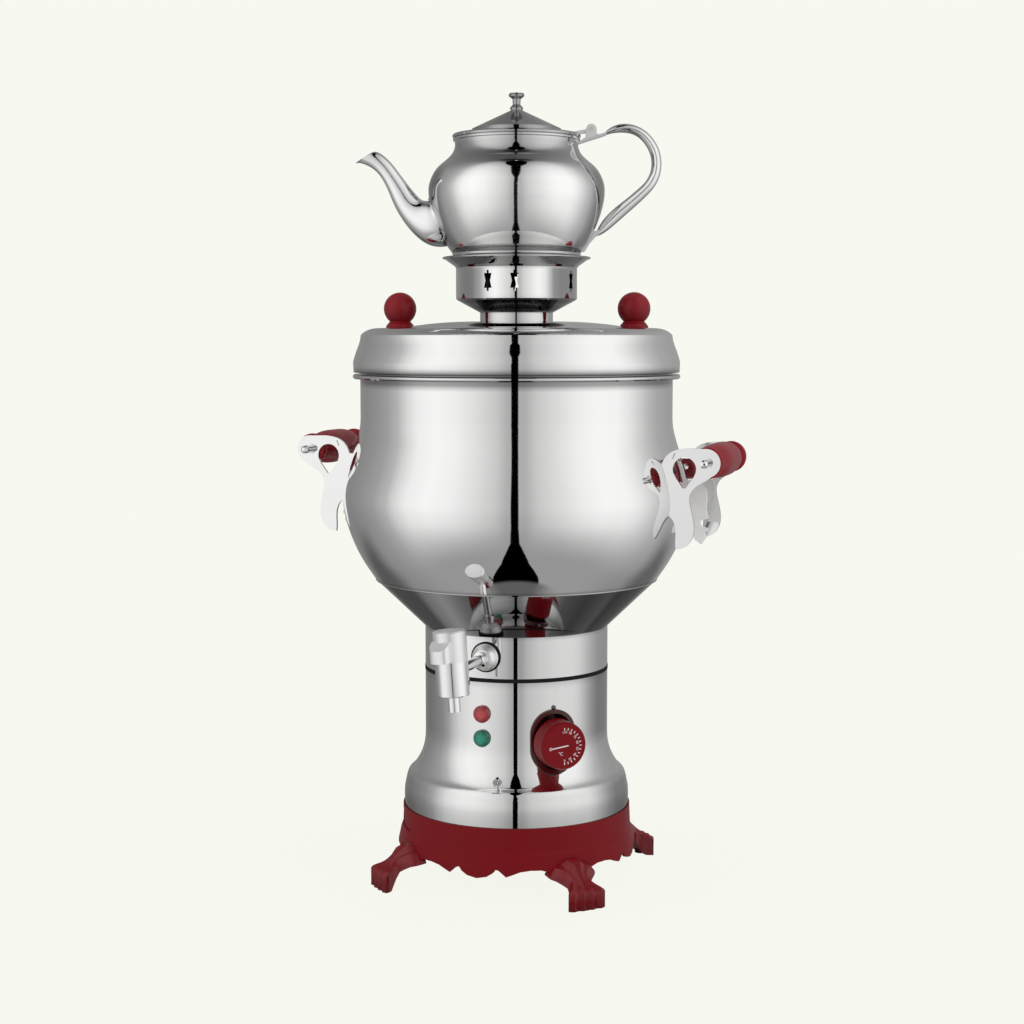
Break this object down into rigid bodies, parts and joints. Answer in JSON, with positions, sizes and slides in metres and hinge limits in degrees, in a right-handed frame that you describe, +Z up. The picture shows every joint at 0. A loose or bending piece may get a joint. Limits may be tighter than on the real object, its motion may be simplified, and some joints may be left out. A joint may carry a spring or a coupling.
{
  "type": "samovar",
  "caption": "Electric samovar: a round-bellied steel urn on a footed base with a tap, dial, lamps and side handles, whose lid carries a pierced stand and a small hinged-lid teapot.",
  "frame": {"origin": "on the floor, on the vertical axis of the tank", "axes": "+Z up; -Y the way the tap points; +-X towards the two side handles, +X on the right as seen from the tap"},
  "size_m": [0.3757, 0.3215, 0.6595],
  "materials": {
    "polished_steel": "polished stainless steel sheet",
    "bright_chrome": "bright plated, smooth",
    "satin_chrome": "plated, slightly satin",
    "copper_tube": "drawn copper",
    "red_plastic": "glossy dark red",
    "red_lens": "glossy red lens",
    "green_lens": "glossy green lens",
    "black_rubber": "matte black",
    "black_plastic": "matte black"
  },
  "bodies": {
    "base_and_tank": {"acorn_nuts": "bright_chrome", "base_plate": "polished_steel", "base_ring": "red_plastic", "base_screws": "bright_chrome", "base_shell": "polished_steel", "crest_left": "bright_chrome", "crest_right": "bright_chrome", "ear_left_front": "bright_chrome", "ear_left_rear": "bright_chrome", "ear_right_front": "bright_chrome", "ear_right_rear": "bright_chrome", "ear_rivets": "bright_chrome", "element_bushes": "black_rubber", "foot_front_left": "red_plastic", "foot_front_right": "red_plastic", "foot_pads": "black_rubber", "foot_rear_left": "red_plastic", "foot_rear_right": "red_plastic", "gasket_ring": "black_rubber", "grip_left": "red_plastic", "grip_right": "red_plastic", "grip_rods": "bright_chrome", "heat_shield": "polished_steel", "heating_element": "polished_steel", "lamp_green": "green_lens", "lamp_red": "red_lens", "mains_inlet": "black_plastic", "sensor_bulb": "copper_tube", "tank_bowl": "polished_steel", "tank_cone": "polished_steel", "tank_floor": "polished_steel", "tap_backnut": "bright_chrome", "tap_body": "bright_chrome", "tap_flange": "bright_chrome", "tap_pipe": "bright_chrome", "tap_washer": "black_rubber", "terminal_block": "black_plastic", "thermal_cutout": "black_plastic", "thermostat_bezel": "red_plastic", "thermostat_body": "black_plastic"},
    "lid": {"lid_shell": "polished_steel", "lid_knob_left": "red_plastic", "lid_knob_right": "red_plastic", "lid_knob_screws": "bright_chrome"},
    "stand": {"stand_cup": "polished_steel"},
    "teapot": {"teapot_body": "polished_steel", "spout": "polished_steel", "spout_strainer": "polished_steel", "teapot_handle": "bright_chrome", "hinge_bracket": "bright_chrome", "hinge_pin": "bright_chrome"},
    "teapot_lid": {"teapot_lid": "polished_steel", "teapot_lid_knob": "bright_chrome", "hinge_leaf": "bright_chrome"},
    "tap_cap": {"tap_cap": "satin_chrome", "valve_stem": "bright_chrome", "valve_plug": "black_rubber"},
    "thermostat_knob": {"thermostat_knob": "red_plastic", "thermostat_shaft": "bright_chrome"}
  },
  "joints": [
    {"name": "lid_lift", "type": "slide", "parent": "base_and_tank", "child": "lid", "axis": [0, 0, 1], "range_m": [0, 0.11]},
    {"name": "stand_lift", "type": "slide", "parent": "lid", "child": "stand", "axis": [0, 0, 1], "range_m": [0, 0.08]},
    {"name": "teapot_lift", "type": "slide", "parent": "stand", "child": "teapot", "axis": [0, 0, 1], "range_m": [0, 0.08]},
    {"name": "teapot_lid_hinge", "type": "hinge", "parent": "teapot", "child": "teapot_lid", "pos_m": [0.05876, 0.01978, 0.6296], "axis": [-0.319, 0.9478, 0], "range_deg": [0, 95]},
    {"name": "tap_turn", "type": "hinge", "parent": "base_and_tank", "child": "tap_cap", "pos_m": [0, -0.156, 0.1985], "axis": [-0.0698, 0, 0.9976], "range_deg": [0, 90]},
    {"name": "thermostat_turn", "type": "hinge", "parent": "base_and_tank", "child": "thermostat_knob", "pos_m": [0, 0, 0.1285], "axis": [0.6639, -0.7478, 0], "range_deg": [-90, 170]}
  ]
}
